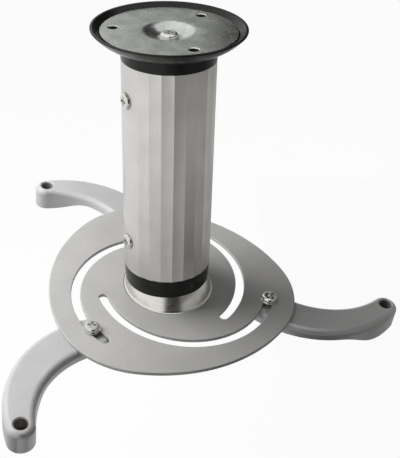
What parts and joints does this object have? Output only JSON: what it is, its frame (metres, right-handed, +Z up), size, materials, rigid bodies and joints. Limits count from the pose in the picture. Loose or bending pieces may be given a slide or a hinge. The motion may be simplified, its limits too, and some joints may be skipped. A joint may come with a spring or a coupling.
{
  "type": "projector ceiling mount",
  "caption": "Ceiling mount for a projector: flared canopy, faceted column, clamped ball joint and a slotted spider plate with curved adjustable arms.",
  "frame": {"origin": "centre of the ceiling plate's upper face, on the column's axis", "axes": "+Z up along the column towards the ceiling, -Y towards the picture's camera"},
  "size_m": [0.2977, 0.2832, 0.2406],
  "materials": {
    "zinc_steel": "zinc plated",
    "bright_screws": "bright nickel plated",
    "black_plastic": "satin moulded",
    "anodised_aluminium": "satin anodised extrusion",
    "turned_aluminium": "turned",
    "nylon": "plain nylon",
    "plain_steel": "zinc plated",
    "polished_steel": "polished",
    "silver_paint_steel": "silver paint",
    "silver_paint_casting": "silver painted die casting"
  },
  "bodies": {
    "mast": {"ceiling_plate": "zinc_steel", "canopy": "black_plastic", "centre_screw": "bright_screws", "top_insert": "turned_aluminium", "column": "anodised_aluminium", "upper_side_screws": "bright_screws", "lower_side_screws": "bright_screws", "bottom_insert": "turned_aluminium", "bottom_ring": "black_plastic", "pivot_bolt": "bright_screws", "clamp_washer": "plain_steel", "spring_washer": "bright_screws", "pivot_nut": "bright_screws"},
    "seat": {"friction_ring": "nylon"},
    "cup": {"ball_cup": "plain_steel"},
    "head": {"dome": "polished_steel", "spider_plate": "silver_paint_steel"},
    "clamp_right": {"arm_screw_right": "bright_screws", "arm_washer_right": "bright_screws", "arm_nut_right": "bright_screws"},
    "reach_right": {"arm_right": "silver_paint_casting"},
    "clamp_back": {"arm_screw_back": "bright_screws", "arm_washer_back": "bright_screws", "arm_nut_back": "bright_screws"},
    "reach_back": {"arm_back": "silver_paint_casting"},
    "clamp_left": {"arm_screw_left": "bright_screws", "arm_washer_left": "bright_screws", "arm_nut_left": "bright_screws"},
    "reach_left": {"arm_left": "silver_paint_casting"}
  },
  "joints": [
    {"name": "ball_turn", "type": "hinge", "parent": "mast", "child": "seat", "pos_m": [0, 0, -0.2134], "axis": [0, 0, 1], "continuous": true},
    {"name": "ball_tilt", "type": "hinge", "parent": "seat", "child": "cup", "pos_m": [0, 0, -0.2134], "axis": [0.729, 0.6845, 0], "range_deg": [-20.4, 5.6]},
    {"name": "ball_spin", "type": "hinge", "parent": "cup", "child": "head", "pos_m": [0, 0, -0.2134], "axis": [0.0882, -0.0939, 0.9917], "continuous": true},
    {"name": "slide_right", "type": "hinge", "parent": "head", "child": "clamp_right", "pos_m": [0.01295, 0.00374, -0.2142], "axis": [0.0882, -0.0939, 0.9917], "range_deg": [-80, 3]},
    {"name": "swing_right", "type": "hinge", "parent": "clamp_right", "child": "reach_right", "pos_m": [0.07716, -0.00836, -0.22105], "axis": [0.0882, -0.0939, 0.9917], "range_deg": [-45, 45]},
    {"name": "slide_back", "type": "hinge", "parent": "head", "child": "clamp_back", "pos_m": [-0.00962, 0.00931, -0.21166], "axis": [0.0882, -0.0939, 0.9917], "range_deg": [-80, 9.6]},
    {"name": "swing_back", "type": "hinge", "parent": "clamp_back", "child": "reach_back", "pos_m": [-0.02352, 0.07311, -0.20439], "axis": [0.0882, -0.0939, 0.9917], "range_deg": [-45, 45]},
    {"name": "slide_left", "type": "hinge", "parent": "head", "child": "clamp_left", "pos_m": [-0.00333, -0.01305, -0.21434], "axis": [0.0882, -0.0939, 0.9917], "range_deg": [-80, 11.6]},
    {"name": "swing_left", "type": "hinge", "parent": "clamp_left", "child": "reach_left", "pos_m": [-0.05327, -0.05574, -0.21394], "axis": [0.0882, -0.0939, 0.9917], "range_deg": [-45, 45]}
  ]
}
